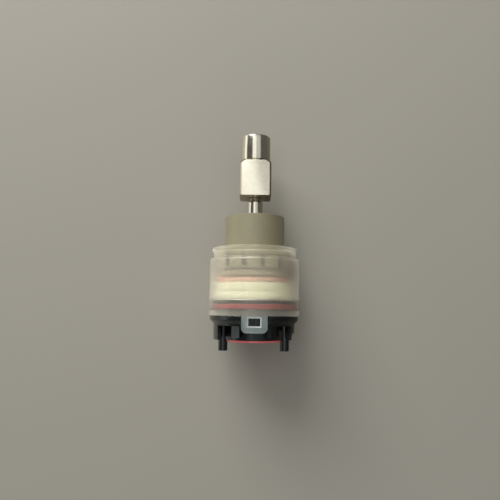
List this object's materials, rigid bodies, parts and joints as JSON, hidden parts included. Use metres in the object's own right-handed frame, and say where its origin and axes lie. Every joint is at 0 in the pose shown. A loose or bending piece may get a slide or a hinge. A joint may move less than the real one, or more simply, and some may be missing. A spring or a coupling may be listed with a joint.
{
  "type": "ceramic disc diverter cartridge",
  "caption": "Ceramic-disc diverter cartridge: milky housing clipped over a black ported base, tan bonnet, and a steel stem with a square and round handle adapter.",
  "frame": {"origin": "middle of the flat seating face under the black base", "axes": "+Z along the stem towards the handle, -Y towards the front snap tab and the inlet port, +X to the right"},
  "size_m": [0.04, 0.04, 0.0969],
  "materials": {
    "black_plastic": "moulded black acetal, satin",
    "milky_plastic": "natural milky translucent plastic",
    "tan_plastic": "moulded tan plastic, satin",
    "cream_plastic": "moulded cream acetal",
    "bush_plastic": "low-friction plastic",
    "red_rubber": "red silicone rubber",
    "black_rubber": "black nitrile rubber",
    "ceramic": "lapped alumina",
    "steel": "nickel-plated, turned and milled"
  },
  "bodies": {
    "cartridge": {"base": "black_plastic", "bottom_seal": "red_rubber", "body_seal": "red_rubber", "port_seal_inlet": "red_rubber", "port_seal_outlet_right": "red_rubber", "port_seal_outlet_left": "red_rubber", "fixed_disc": "ceramic", "housing": "milky_plastic", "head": "tan_plastic", "stop_ring": "tan_plastic", "thrust_washer": "bush_plastic", "stem_bush": "bush_plastic"},
    "spindle": {"moving_disc": "ceramic", "driver": "cream_plastic", "driver_ring": "red_rubber", "click_ball": "steel", "click_spring": "steel", "stem": "steel", "stem_o_ring_lower": "black_rubber", "stem_o_ring_upper": "black_rubber", "stem_clip": "steel", "adapter": "steel"}
  },
  "joints": [
    {"name": "selector_turn", "type": "hinge", "parent": "cartridge", "child": "spindle", "pos_m": [0, 0, 0], "axis": [0, 0, 1], "range_deg": [-60, 60]}
  ]
}
